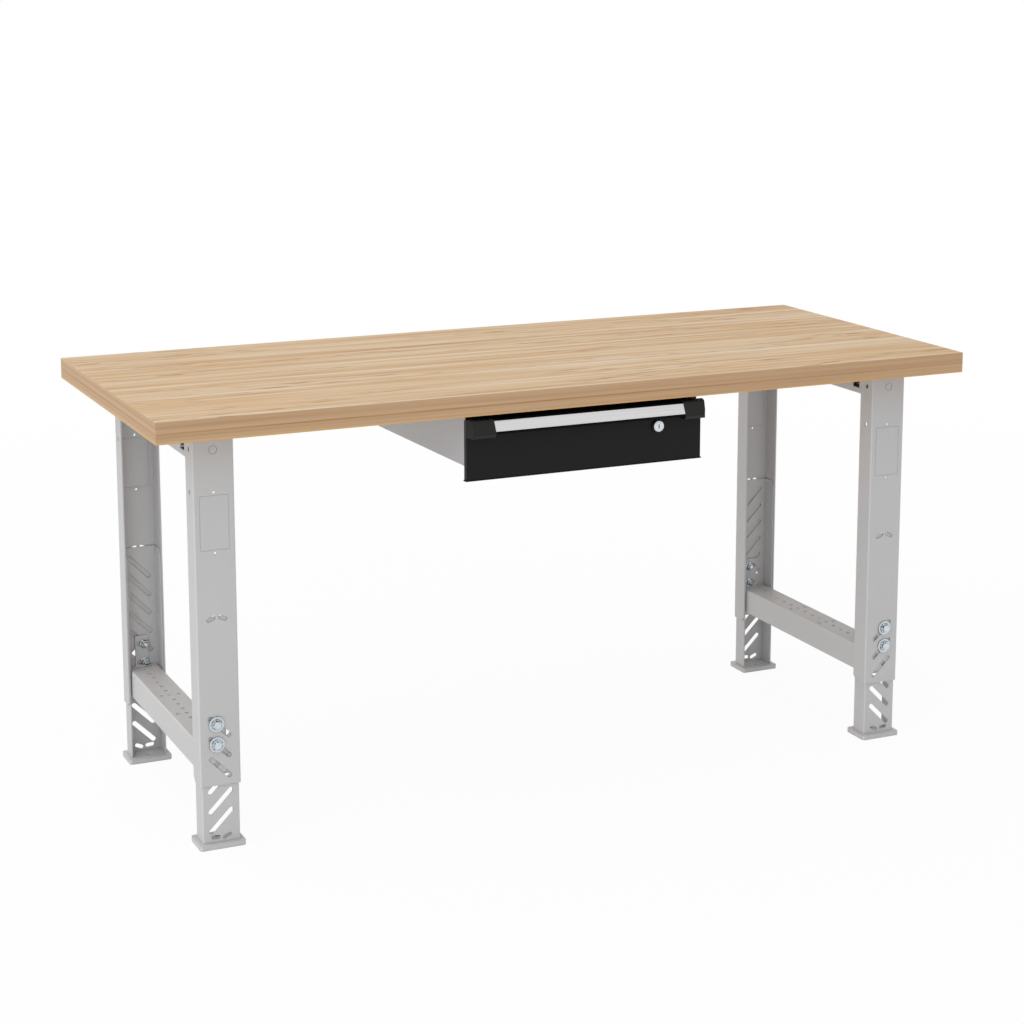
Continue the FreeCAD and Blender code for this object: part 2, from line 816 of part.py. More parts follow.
write("drawer_housing", housing())
write("housing_front_rail", housing_front_rail())
housing_seat = underside - housing_sheet
housing_screw_sizes = (housing_screw_shank, housing_screw_head)
write("housing_screws", [wood_screw(x, y, housing_seat, *housing_screw_sizes) for x, y in housing_spots()])
write("drawer_tray", tray())
write("drawer_front", drawer_front())
write("drawer_handle", handle())
write("handle_strip", handle_strip())
cap = handle_cap()
write("handle_end_cap_right", cap)
write("handle_end_cap_left", across(cap))
write("lock_case", lock_case())
write("lock_nut", lock_nut())
write("lock_plug", lock_plug_body())
write("lock_cam", lock_cam())
for level, section in zip(("outer", "middle", "inner"), runner_sections()):
    write_ends("runner_" + level, runner(section))
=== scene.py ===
import math

import bmesh
import bpy
import numpy as np
from mathutils import Euler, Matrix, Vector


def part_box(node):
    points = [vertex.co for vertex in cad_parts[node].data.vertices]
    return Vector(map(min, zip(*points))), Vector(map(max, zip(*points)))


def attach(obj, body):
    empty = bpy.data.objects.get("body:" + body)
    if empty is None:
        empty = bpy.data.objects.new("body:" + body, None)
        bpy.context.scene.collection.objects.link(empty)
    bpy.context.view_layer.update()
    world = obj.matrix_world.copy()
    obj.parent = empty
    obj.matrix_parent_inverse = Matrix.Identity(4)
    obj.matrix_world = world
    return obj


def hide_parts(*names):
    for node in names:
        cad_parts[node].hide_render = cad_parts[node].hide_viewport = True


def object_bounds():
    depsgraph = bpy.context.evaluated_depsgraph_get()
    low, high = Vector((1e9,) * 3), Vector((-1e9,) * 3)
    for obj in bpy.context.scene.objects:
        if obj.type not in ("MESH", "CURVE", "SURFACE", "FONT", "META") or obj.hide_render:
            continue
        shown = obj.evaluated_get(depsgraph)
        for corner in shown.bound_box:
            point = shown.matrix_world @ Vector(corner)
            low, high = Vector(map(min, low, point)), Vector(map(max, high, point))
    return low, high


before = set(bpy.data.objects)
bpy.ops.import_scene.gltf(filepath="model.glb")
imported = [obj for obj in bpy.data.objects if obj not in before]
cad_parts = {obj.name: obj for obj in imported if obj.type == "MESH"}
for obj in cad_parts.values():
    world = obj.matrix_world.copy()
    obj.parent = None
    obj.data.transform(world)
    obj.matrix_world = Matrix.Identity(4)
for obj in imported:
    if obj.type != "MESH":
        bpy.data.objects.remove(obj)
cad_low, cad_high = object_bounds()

bl_info = {
    "name": "Height-adjustable workbench",
    "version": (1, 0, 0),
    "blender": (4, 5, 0),
    "location": "View3D > Sidebar > Workbench",
    "description": (
        "Finishes and small hardware of a workbench with a laminated top and a locking drawer"),
    "category": "Object",
}

# Meshes: the angle from which an edge stays crisp, and columns round turned pieces and the floor
SHARP_ANGLE = math.radians(32)
AROUND = 48
FLOOR_SIDES = 96

# Hexagons: the chamfer's slope, the share of the width where it begins and where the flat face
# has a row, and the step down to the flange
CHAMFER_SLOPE = math.tan(math.radians(30))
CHAMFER_FROM = 0.46
CHAMFER_ROWS = 6
FACE_ROW = 0.3
FLANGE_STEP = 0.0003

# Flanges: shares of the radius and of the height up the rim, and of the hexagon where the cone ends
FLANGE_RIM = ((1.0, 0.0), (1.0, 0.4), (0.97, 0.65))
CONE_END = 0.6

# Bolt tips: share of the radius and distance from the end; the thread stops short of them
BOLT_TIP = ((0.82, 0.0004), (0.7, 0.0))
THREAD_STOP = 0.0008
THREAD_ROWS = 10

# Nuts and screws: shares of the hexagon's width at a nut's mouth and a screw's dish
NUT_MOUTH = 0.36
SCREW_DISH = 0.4

# Screws: the hexagon's width and the shank as shares of the washer face's radius, the hexagon's
# height as a share of the head's, and the washer face's rim as shares of its radius with depths
SCREW_ACROSS = 1.35
SCREW_SHANK = 0.5
SCREW_PLATE = 0.72
SCREW_RIM = ((0.96, 0.0001), (1.0, 0.0004))

# Washers and the lock's ring: steps of rounded edges, each off the edge and in from the face
WASHER_RIM = ((0.0008, 0.0), (0.0003, 0.0001), (0.0, 0.0006))
RING_MOUTH = ((0.0, 0.0006), (0.0004, 0.0001), (0.0012, 0.0))
RING_RIM = ((0.001, 0.0002), (0.0002, 0.0009), (0.0, 0.0018))

# Lock plug: share of the radius and depth, from the turned groove to the rounded rim
PLUG_FACE = ((0.74, 0.0), (0.77, 0.0003), (0.9, 0.0003), (0.97, 0.0006), (1.0, 0.0012))

# Coats: gains of the faint patches, of the painted shade in creases and in the deepest creases, and
# spread of roughness
PATCH_GAINS = (0.96, 1.04)
CREASE_SHADE_GAIN = 0.76
DEEP_SHADE_GAIN = 0.2
COAT_SPREAD = 0.04

# Metals: reach and gain of the painted shade in creases, and the factor by which marks change the
# roughness
METAL_CREASE = 0.008
METAL_SHADE_GAIN = 0.03
METAL_SPREAD = 1.25

# Studio paper: gain of its darker patches
PAPER_GAIN = 0.99


def linear(code):
    """Linear red, green and blue of an sRGB hex colour such as #CFCFD0."""
    srgb = np.array([int(code[i:i + 2], 16) for i in (1, 3, 5)]) / 255
    low, high = srgb / 12.92, ((srgb + 0.055) / 1.055) ** 2.4
    return tuple(float(c) for c in np.where(srgb <= 0.04045, low, high))


def colour(name, code, about):
    """One colour that a user may change, written as sRGB hex."""
    return bpy.props.FloatVectorProperty(
        name=name, description=about, subtype="COLOR", size=3, min=0, max=1, default=linear(code))


def length(name, metres, about):
    """One length that a user may change, in metres."""
    return bpy.props.FloatProperty(
        name=name, description=about, default=metres, min=0, unit="LENGTH", precision=5)


def amount(name, value, about):
    """One plain number that a user may change."""
    return bpy.props.FloatProperty(name=name, description=about, default=value)


def angle(name, degrees, about):
    """One angle that a user may change, written in degrees."""
    return bpy.props.FloatProperty(
        name=name, description=about, subtype="ANGLE", default=math.radians(degrees))


def place(name, metres, about):
    """One place that a user may change, in metres."""
    return bpy.props.FloatVectorProperty(
        name=name, description=about, subtype="XYZ", unit="LENGTH", size=3, default=metres)


class WoodLook(bpy.types.PropertyGroup):
    """Laminated wood of the worktop"""
    golden: colour("Golden", "#C09260", "Warmest, darkest bands of the broad face")
    honey: colour("Honey", "#CBA577", "Bands between golden and middle")
    middle: colour("Middle", "#D2B188", "Commonest tone of the broad face")
    pale: colour("Pale", "#D7BC99", "Lighter sapwood bands")
    cream: colour("Cream", "#DAC3A6", "Palest sapwood")
    streak: colour("Streak", "#DFCEB8", "Thin whitish lines where staves meet")
    fleck: colour("Fleck", "#9E6C40", "Short dark marks in the grain")
    edge_dark: colour("Edge dark", "#BA9672", "Darker layers on the sawn edges")
    edge_middle: colour("Edge middle", "#C3A17D", "Common layers on the sawn edges")
    edge_pale: colour("Edge pale", "#CDAF8E", "Lighter layers on the sawn edges")
    glue_line: colour("Glue line", "#B07F52", "Reddish line along the edges")
    # Colour of a painted highlight along the lower arris
    arris_highlight: colour("Low edge", "#DBAA6C", "Bright line along the lower arris")
    band_width: length("Band width", 0.052, "Width of the tonal bands across the grain")
    band_length: length("Band length", 2.6, "Length of the tonal bands along the grain")
    band_share: amount("Band share", 0.7, "Weight of the bands in the tone")
    figure_width: length("Figure width", 0.0125, "Width of the shorter light and dark streaks")
    figure_length: length("Figure length", 0.42, "Length of the shorter light and dark streaks")
    figure_share: amount("Figure share", 0.68, "Weight of the shorter streaks in the tone")
    tone_shift: amount("Tone shift", -0.19, "Shift that keeps the tone in the middle")
    grain_width: length("Grain width", 0.004, "Width of the fine grain")
    grain_length: length("Grain length", 0.3, "Length of the fine grain")
    fleck_width: length("Fleck width", 0.0075, "Width of the dark flecks")
    fleck_length: length("Fleck length", 0.085, "Length of the dark flecks")
    cluster_width: length("Cluster width", 0.09, "Width of the clusters of flecks")
    cluster_length: length("Cluster length", 0.5, "Length of the clusters of flecks")
    stave_width: length("Stave width", 0.113, "Distance between the whitish lines")
    fade_length: length("Fade length", 0.9, "Length over which the whitish lines come and go")
    wander: length("Wander", 0.06, "How far the whitish lines wander to the side")
    wander_width: length("Wander width", 0.25, "Width of one wander")
    wander_length: length("Wander length", 1.3, "Length of one wander")
    ragged: length("Ragged", 0.018, "How far the shorter streaks push the whitish lines aside")
    layer_height: length("Layer height", 0.0085, "Height of the layers on the edges")
    layer_length: length("Layer length", 1.4, "Length of the layers on the edges")
    glue_drop: length("Glue line drop", 0.0245, "Depth of the reddish line below the top face")
    glue_core: length("Glue line core", 0.0006, "Half the height at which the line is full")
    glue_reach: length("Glue line reach", 0.0024, "Half the height at which the line ends")
    glue_patch: length("Glue line patch", 0.35, "Length over which the line comes and goes")
    glue_patch_height: length("Glue patch height", 0.05, "Height of that change")
    # Heights of the painted highlight along the lower arris
    arris_highlight_core: length("Low edge core", 0.002, "Height up to which the lower arris is bright")
    arris_highlight_reach: length("Low edge reach", 0.005, "Height at which the bright arris ends")


class SteelLook(bpy.types.PropertyGroup):
    """Painted and plated steel"""
    grey: colour("Light grey", "#C7C7C8", "Powder coat of the legs, stretchers and rails")
    housing: colour("Housing grey", "#C1C5CA", "Powder coat of the drawer housing")
    black: colour("Black", "#161616", "Powder coat of the drawer")
    # The handle's own black darkened by painted shade, and painted shade on the rail behind it
    black_and_painted_shade: colour("Deep black", "#090909", "Powder coat of the handle and the rail behind it")
    zinc: colour("Zinc", "#D8E1E5", "Blue-white plating of the bolts and screws")
    zinc_dull: colour("Zinc dull", "#C4CED3", "Duller patches of the plating")
    zinc_mark: length("Zinc mark", 0.004, "Size of the duller patches")
    runner: colour("Runner", "#B4B9BD", "Plated runner members")
    runner_dull: colour("Runner dull", "#8F959A", "Duller patches of the runners")
    runner_mark: length("Runner mark", 0.002, "Height and length of those patches")
    runner_across: length("Runner across", 0.02, "Size of those patches across the runner")
    peel: length("Orange peel", 0.005, "Size of the powder coat's ripples")
    patch: length("Patch", 0.35, "Size of the faint tonal patches")
    edge: length("Edge", 0.0012, "Radius over which edges catch the light")
    # Reach and heights of the painted shade in creases and holes, much darker from the lower height
    # up
    crease: length("Crease", 0.0035, "Reach of the darker tone in creases and holes")
    deep_from: length("Deep from", 0.79, "Height where creases deepen, below the round knock-outs")
    deep_over: length("Deep over", 0.01, "Height over which creases deepen")


class DrawerLook(bpy.types.PropertyGroup):
    """Plastic, aluminium and lock of the drawer"""
    plastic: colour("Cap plastic", "#191918", "Moulded end caps")
    strip: colour("Handle strip", "#DCDCDC", "Anodised strip on the handle")
    strip_dull: colour("Handle strip dull", "#D3D3D4", "Brushed lines of the strip")
    brush: length("Brush", 0.0015, "Spacing of the brushed lines")
    brush_length: length("Brush length", 0.3, "Length of the brushed lines")
    chrome: colour("Lock chrome", "#DDE3E6", "Plated lock plug, cam and nut")
    chrome_dull: colour("Lock chrome dull", "#CAD1D4", "Duller marks of the chrome")
    chrome_mark: length("Chrome mark", 0.002, "Size of the duller marks")
    ring: colour("Lock ring", "#0E0E0E", "Black lock ring")


class HardwareSizes(bpy.types.PropertyGroup):
    """Height bolts, screws and lock"""
    hexagon: length("Hexagon", 0.0143, "Width across the flats of the bolt heads and nuts")
    head: length("Head", 0.006, "Height of a bolt's hexagon")
    flange: length("Flange", 0.021, "Diameter of the flanges under heads and nuts")
    flange_height: length("Flange height", 0.0022, "Thickness of the flanges")
    shank: length("Shank", 0.0095, "Diameter of the bolts")
    pitch: length("Pitch", 0.0015875, "Thread pitch of the bolts")
    nut: length("Nut", 0.009, "Height of a nut with its flange")
    nut_sink: length("Nut sink", 0.0006, "Depth of the countersink in a nut's end")
    tail: length("Tail", 0.003, "Thread that stands out of a nut")
    washer: length("Washer", 0.032, "Diameter of the washers")
    washer_hole: length("Washer hole", 0.0105, "Hole of the washers")
    washer_height: length("Washer height", 0.0025, "Thickness of the washers")
    washer_edge: length("Washer edge", 0.0002, "Broken edge of the washers' hole")
    worktop_screw: length("Worktop screw", 0.012, "Diameter of a rail screw's washer face")
    housing_screw: length("Housing screw", 0.0095, "Diameter of a housing screw's washer face")
    screw_head: length("Screw head", 0.004, "Height of a screw's head with its washer face")
    screw_dish: length("Screw dish", 0.0006, "Depth of the dish in a screw's head")
    screw_point: length("Screw point", 0.006, "Length of a screw's point")
    screw_spread: length("Screw spread", 0.044, "Distance between the rows of rail screws")
    lock_ring: length("Lock ring", 0.0045, "How far the lock ring stands out of the drawer front")
    lock_wall: length("Lock wall", 0.003, "Thickness of the lock ring's wall")
    lock_floor: length("Lock floor", 0.001, "Thickness of the lock ring's floor")
    lock_bore: length("Lock bore", 0.0146, "Bore of the lock's barrel")
    lock_barrel: length("Lock barrel", 0.019, "Diameter of the lock's barrel")
    plug_gap: length("Plug gap", 0.0003, "Room between the plug's face and the ring's floor")
    plug_shaft: length("Plug shaft", 0.014, "Diameter of the plug in the barrel")
    key_slot: length("Key slot", 0.009, "Height of the key slot")
    key_slot_width: length("Key slot width", 0.0022, "Width of the key slot")
    key_slot_depth: length("Key slot depth", 0.002, "Depth of the key slot")
    key_slot_edge: length("Key slot edge", 0.0002, "Broken edge of the key slot")


class StageLook(bpy.types.PropertyGroup):
    """Floor, light and camera"""
    floor: colour("Floor", "#F6F6F6", "Plain pale floor")
    floor_white: amount("Floor white", 0.94, "Share of plain white that the camera sees there")
    floor_near: length("Floor near", 1.6, "Distance to which the floor keeps its shadow")
    floor_far: length("Floor far", 5.0, "Distance from which the floor is plain white")
    floor_radius: length("Floor radius", 40.0, "Reach of the floor")
    fibre: length("Fibre", 0.4, "Size of the paper's faint patches")
    sky: amount("Sky", 0.94, "Strength of the light all round")
    sky_right: amount("Sky right", 0.42, "Strength of that light behind the screen on the right")
    screen_from: amount("Screen from", 0.1, "Share of the way to the right where the screen begins")
    screen_full: amount("Screen full", 0.6, "Share of the way to the right where it is full")
    key_power: amount("Key power", 44.0, "Power of the soft light overhead, in watts")
    key_size: length("Key size", 5.0, "Side of the soft light")
    key_place: place("Key place", (-2.3, -1.1, 3.7), "Where the soft light hangs")
    eye: place("Eye", (-2.0093, -4.4355, 1.7582), "Where the camera stands")
    heading: angle("Heading", 24.627, "Camera's turn to the right of straight ahead")
    pitch: angle("Pitch", 10.125, "How far the camera looks down")
    lens: amount("Lens", 79.233, "Focal length in millimetres on a 36 mm frame")
    shift_x: amount("Shift across", -0.0126, "Sideways shift of the lens")
    shift_y: amount("Shift down", -0.15, "Downward shift of the lens")


def add(tree, kind, inputs=None, **settings):
    """Adds one node. Settings are its attributes, and inputs gives each socket a value, another
    node's output, or another node, whose first output in use is meant."""
    made = tree.nodes.new(kind)
    for name, value in settings.items():
        setattr(made, name, value)
    for socket, value in (inputs or {}).items():
        if isinstance(value, bpy.types.Node):
            value = next(output for output in value.outputs if output.enabled)
        if isinstance(value, bpy.types.NodeSocket):
            tree.links.new(value, made.inputs[socket])
        else:
            made.inputs[socket].default_value = value
    return made


def rgba(shade, gain=1.0):
    """Opaque colour of a shade, lighter or darker by a gain."""
    return (*(min(c * gain, 1.0) for c in shade), 1.0)


def begin(name, **layers):
    """New material with its coordinates and its noise layers, but no shader yet.

    Each layer has the sizes of its features in metres along X, Y and Z, and its detail.
    """
    material = bpy.data.materials.new(name)
    material.use_nodes = True
    tree = material.node_tree
    tree.nodes.clear()
    coords = add(tree, "ShaderNodeTexCoord").outputs["Object"]
    noise = {}
    for layer, (sizes, detail) in layers.items():
        fitted = add(tree, "ShaderNodeMapping", {
            "Vector": coords, "Scale": [1 / size for size in sizes]})
        noise[layer] = add(tree, "ShaderNodeTexNoise", {
            "Vector": fitted, "Scale": 1.0, "Detail": detail})
    return material, tree, coords, noise


def laminated_beech(look):
    """Beech staves glued side by side, planed and lacquered satin.

    The eye sees soft tonal bands along the length, thin whitish lines where staves meet, short
    dark flecks, fine grain, and level layers on the sawn edges with one reddish line.
    """
    material, tree, coords, noise = begin(
        "Laminated beech, satin lacquer",
        bands=((look.band_length, look.band_width, look.band_width), 2.5),
        figure=((look.figure_length, look.figure_width, look.figure_width), 2.5),
        grain=((look.grain_length, look.grain_width, look.grain_width), 3.0),
        flecks=((look.fleck_length, look.fleck_width, look.fleck_width), 1.0),
        clusters=((look.cluster_length, look.cluster_width, look.cluster_width), 1.0),
        wander=((look.wander_length, look.wander_width, look.wander_width), 1.0),
        fade=((look.fade_length, look.stave_width, look.stave_width), 1.0),
        layers=((look.layer_length, look.layer_length, look.layer_height), 3.0),
        glue=((look.glue_patch, look.glue_patch, look.glue_patch_height), 1.0),
    )
    # Tones of the broad faces, long bands with shorter streaks over them, and of the edges' layers
    lift = add(tree, "ShaderNodeMath", {
        0: noise["figure"], 1: look.figure_share, 2: look.tone_shift}, operation="MULTIPLY_ADD")
    tone = add(tree, "ShaderNodeMath", {
        0: noise["bands"], 1: look.band_share, 2: lift}, operation="MULTIPLY_ADD")
    face = add(tree, "ShaderNodeValToRGB", {"Fac": tone})
    edge = add(tree, "ShaderNodeValToRGB", {"Fac": noise["layers"]})
    face_stops = (
        (0.28, look.golden), (0.41, look.honey), (0.5, look.middle), (0.6, look.pale),
        (0.72, look.cream))
    edge_stops = ((0.3, look.edge_dark), (0.5, look.edge_middle), (0.7, look.edge_pale))
    for ramp, stops in ((face, face_stops), (edge, edge_stops)):
        points = ramp.color_ramp.elements
        while len(points) < len(stops):
            points.new(0.5)
        for point, (position, shade) in zip(points, stops):
            point.position = position
            point.color = rgba(shade)
    # Whitish lines where staves meet, wandering and fading along their length
    axes = add(tree, "ShaderNodeSeparateXYZ", {0: coords}).outputs
    sway = add(tree, "ShaderNodeMath", {
        0: noise["wander"], 1: look.wander, 2: axes["Y"]}, operation="MULTIPLY_ADD")
    ragged = add(tree, "ShaderNodeMath", {
        0: noise["figure"], 1: look.ragged, 2: sway}, operation="MULTIPLY_ADD")
    stave = add(tree, "ShaderNodeMath", {0: ragged, 1: look.stave_width}, operation="DIVIDE")
    from_line = add(tree, "ShaderNodeMath", {0: stave, 1: 0.5}, operation="PINGPONG")
    line = add(tree, "ShaderNodeMapRange", {
        "Value": from_line, "From Min": 0.1, "From Max": 0.01}, interpolation_type="SMOOTHSTEP")
    line_shown = add(tree, "ShaderNodeMapRange", {
        "Value": noise["fade"], "From Min": 0.36, "From Max": 0.58, "To Max": 0.85},
        interpolation_type="SMOOTHSTEP")
    line_share = add(tree, "ShaderNodeMath", {0: line, 1: line_shown}, operation="MULTIPLY")
    lined = add(tree, "ShaderNodeMix", {
        0: line_share, 6: face, 7: rgba(look.streak)}, data_type="RGBA")
    # Short dark flecks, in loose clusters
    mark = add(tree, "ShaderNodeMapRange", {
        "Value": noise["flecks"], "From Min": 0.58, "From Max": 0.72, "To Max": 0.85},
        interpolation_type="SMOOTHSTEP")
    cluster = add(tree, "ShaderNodeMapRange", {
        "Value": noise["clusters"], "From Min": 0.48, "From Max": 0.58},
        interpolation_type="SMOOTHSTEP")
    fleck_share = add(tree, "ShaderNodeMath", {0: mark, 1: cluster}, operation="MULTIPLY")
    flecked = add(tree, "ShaderNodeMix", {
        0: fleck_share, 6: lined, 7: rgba(look.fleck)}, data_type="RGBA")
    # Reddish line of the edges, and a painted highlight along their lower arris
    underside, top = (corner.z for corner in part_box("worktop"))
    off = add(tree, "ShaderNodeMath", {
        0: axes["Z"], 1: top - look.glue_drop}, operation="SUBTRACT")
    away = add(tree, "ShaderNodeMath", {0: off}, operation="ABSOLUTE")
    glue = add(tree, "ShaderNodeMapRange", {
        "Value": away, "From Min": look.glue_reach, "From Max": look.glue_core},
        interpolation_type="SMOOTHSTEP")
    glue_shown = add(tree, "ShaderNodeMapRange", {
        "Value": noise["glue"], "From Min": 0.3, "From Max": 0.6, "To Min": 0.25, "To Max": 0.85})
    glue_share = add(tree, "ShaderNodeMath", {0: glue, 1: glue_shown}, operation="MULTIPLY")
    glued = add(tree, "ShaderNodeMix", {
        0: glue_share, 6: edge, 7: rgba(look.glue_line)}, data_type="RGBA")
    low = add(tree, "ShaderNodeMapRange", {
        "Value": axes["Z"], "From Min": underside + look.arris_highlight_reach,
        "From Max": underside + look.arris_highlight_core, "To Max": 0.8})
    arris_highlighted = add(tree, "ShaderNodeMix", {
        0: low, 6: glued, 7: rgba(look.arris_highlight)}, data_type="RGBA")
    # Broad faces where the surface looks up or down, edges elsewhere, and fine grain over both
    normal = add(tree, "ShaderNodeSeparateXYZ", {
        0: add(tree, "ShaderNodeNewGeometry").outputs["Normal"]}).outputs
    upright = add(tree, "ShaderNodeMath", {0: normal["Z"]}, operation="ABSOLUTE")
    broad = add(tree, "ShaderNodeMapRange", {"Value": upright, "From Min": 0.45, "From Max": 0.8})
    both = add(tree, "ShaderNodeMix", {0: broad, 6: arris_highlighted, 7: flecked}, data_type="RGBA")
    depth = add(tree, "ShaderNodeMapRange", {
        "Value": noise["grain"], "From Min": 0.3, "From Max": 0.7, "To Min": 0.95, "To Max": 1.035})
    grained = add(tree, "ShaderNodeMix", {
        0: 1.0, 6: both, 7: depth}, data_type="RGBA", blend_type="MULTIPLY")
    sheen = add(tree, "ShaderNodeMapRange", {
        "Value": noise["grain"], "From Min": 0.3, "From Max": 0.7, "To Min": 0.58, "To Max": 0.46})
    ripple = add(tree, "ShaderNodeBump", {
        "Height": noise["grain"], "Strength": 0.2, "Distance": 0.0002})
    shader = add(tree, "ShaderNodeBsdfPrincipled", {
        "Base Color": grained, "Roughness": sheen, "Normal": ripple, "Specular IOR Level": 0.22})
    add(tree, "ShaderNodeOutputMaterial", {"Surface": shader})
    return material


def powder_coat(name, shade, look, rough, specular, edge_highlight_gain=1.1, bends=False):
    """Polyester powder baked on steel; lacquer and moulded plastic have the same kind of skin.

    The eye sees an even satin colour with a faint orange peel, a painted highlight along each edge
    (and along each bend, where bends is set) and painted shade in each crease and hole, deepest at
    the round knock-outs. The real peel is too fine to show, so it is drawn a few times coarser.
    """
    material, tree, coords, noise = begin(
        name, peel=((look.peel,) * 3, 2.0), patch=((look.patch,) * 3, 2.0))
    dark, light = (rgba(shade, gain) for gain in PATCH_GAINS)
    body = add(tree, "ShaderNodeMix", {0: noise["patch"], 6: dark, 7: light}, data_type="RGBA")
    # Painted highlight along edges, where a rounded normal leaves the flat one
    rounded = add(tree, "ShaderNodeBevel", {"Radius": look.edge}, samples=4)
    flat = add(tree, "ShaderNodeNewGeometry").outputs["Normal"]
    facing = add(tree, "ShaderNodeVectorMath", {0: rounded, 1: flat}, operation="DOT_PRODUCT")
    rim = add(tree, "ShaderNodeMapRange", {
        "Value": facing, "From Min": 0.995, "From Max": 0.9, "To Max": 0.8})
    if bends:
        # Painted highlight along bends, where the normal is square to no axis
        sizes = add(tree, "ShaderNodeVectorMath", {0: flat}, operation="ABSOLUTE")
        along = add(tree, "ShaderNodeSeparateXYZ", {0: sizes}).outputs
        level = add(tree, "ShaderNodeMath", {0: along["X"], 1: along["Y"]}, operation="MAXIMUM")
        square = add(tree, "ShaderNodeMath", {0: level, 1: along["Z"]}, operation="MAXIMUM")
        bend = add(tree, "ShaderNodeMapRange", {
            "Value": square, "From Min": 0.985, "From Max": 0.85})
        rim = add(tree, "ShaderNodeMath", {0: rim, 1: bend}, operation="MAXIMUM")
    edge_highlighted = add(tree, "ShaderNodeMix", {
        0: rim, 6: body, 7: rgba(shade, edge_highlight_gain)}, data_type="RGBA")
    # Painted shade in creases and holes, much darker from deep_from up
    openness = add(tree, "ShaderNodeAmbientOcclusion", {"Distance": look.crease}, samples=4)
    height = add(tree, "ShaderNodeSeparateXYZ", {0: coords}).outputs["Z"]
    high = add(tree, "ShaderNodeMapRange", {
        "Value": height, "From Min": look.deep_from, "From Max": look.deep_from + look.deep_over})
    shadow = add(tree, "ShaderNodeMix", {
        0: high, 6: rgba(shade, CREASE_SHADE_GAIN), 7: rgba(shade, DEEP_SHADE_GAIN)}, data_type="RGBA")
    crease_shaded = add(tree, "ShaderNodeMix", {
        0: openness.outputs["AO"], 6: shadow, 7: edge_highlighted}, data_type="RGBA")
    gloss = add(tree, "ShaderNodeMapRange", {
        "Value": noise["peel"], "From Min": 0.3, "From Max": 0.7,
        "To Min": rough - COAT_SPREAD, "To Max": rough + COAT_SPREAD})
    ripple = add(tree, "ShaderNodeBump", {
        "Height": noise["peel"], "Strength": 0.25, "Distance": 0.0001, "Normal": rounded})
    shader = add(tree, "ShaderNodeBsdfPrincipled", {
        "Base Color": crease_shaded, "Roughness": gloss, "Normal": ripple,
        "Specular IOR Level": specular})
    add(tree, "ShaderNodeOutputMaterial", {"Surface": shader})
    return material


def plated_metal(name, bright, dull, rough, sizes, shut=0.0, clear=1.0, uneven=0.0):
    """Plated or brushed metal.

    The eye sees a clear reflection, broken by duller marks of the given sizes, and painted shade
    in creases. Between shut and clear a crease goes from painted shade to open, and uneven lets
    the marks break that shade up.
    """
    material, tree, _, noise = begin(name, marks=(sizes, 3.0))
    spread = add(tree, "ShaderNodeMapRange", {
        "Value": noise["marks"], "From Min": 0.35, "From Max": 0.7})
    body = add(tree, "ShaderNodeMix", {0: spread, 6: rgba(bright), 7: rgba(dull)}, data_type="RGBA")
    open_sky = add(tree, "ShaderNodeAmbientOcclusion", {"Distance": METAL_CREASE}, samples=4)
    marks_and_openness = add(tree, "ShaderNodeMath", {
        0: noise["marks"], 1: uneven, 2: open_sky.outputs["AO"]}, operation="MULTIPLY_ADD")
    openness = add(tree, "ShaderNodeMapRange", {
        "Value": marks_and_openness, "From Min": shut, "From Max": clear})
    crease_shaded = add(tree, "ShaderNodeMix", {
        0: openness, 6: rgba(dull, METAL_SHADE_GAIN), 7: body}, data_type="RGBA")
    gloss = add(tree, "ShaderNodeMapRange", {
        "Value": noise["marks"], "From Min": 0.3, "From Max": 0.7,
        "To Min": rough / METAL_SPREAD, "To Max": rough * METAL_SPREAD})
    ripple = add(tree, "ShaderNodeBump", {
        "Height": noise["marks"], "Strength": 0.15, "Distance": 0.00005})
    shader = add(tree, "ShaderNodeBsdfPrincipled", {
        "Base Color": crease_shaded, "Roughness": gloss, "Normal": ripple, "Metallic": 1.0})
    add(tree, "ShaderNodeOutputMaterial", {"Surface": shader})
    return material


def finish_nodes(names, material):
    """Gives CAD nodes a material."""
    for name in names:
        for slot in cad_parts[name].material_slots:
            slot.material = material


def named(*starts):
    """CAD nodes whose names start with any of these."""
    return sorted(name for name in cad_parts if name.startswith(starts))


class BENCH_OT_worktop(bpy.types.Operator):
    """Finish the laminated worktop"""
    bl_idname = "bench.worktop"
    bl_label = "Worktop"

    def execute(self, context):
        finish_nodes(["worktop"], laminated_beech(context.scene.bench_wood))
        return {"FINISHED"}


class BENCH_OT_frame(bpy.types.Operator):
    """Finish the legs, feet, stretchers and rails"""
    bl_idname = "bench.frame"
    bl_label = "Frame"

    def execute(self, context):
        look = context.scene.bench_steel
        # Painted highlights along the frame's edges and bends
        grey = powder_coat(
            "Light grey powder coat on steel", look.grey, look, rough=0.48, specular=0.35,
            edge_highlight_gain=1.15, bends=True)
        finish_nodes(named("upper_leg", "lower_leg", "foot_plate", "stretcher", "top_rail"), grey)
        return {"FINISHED"}


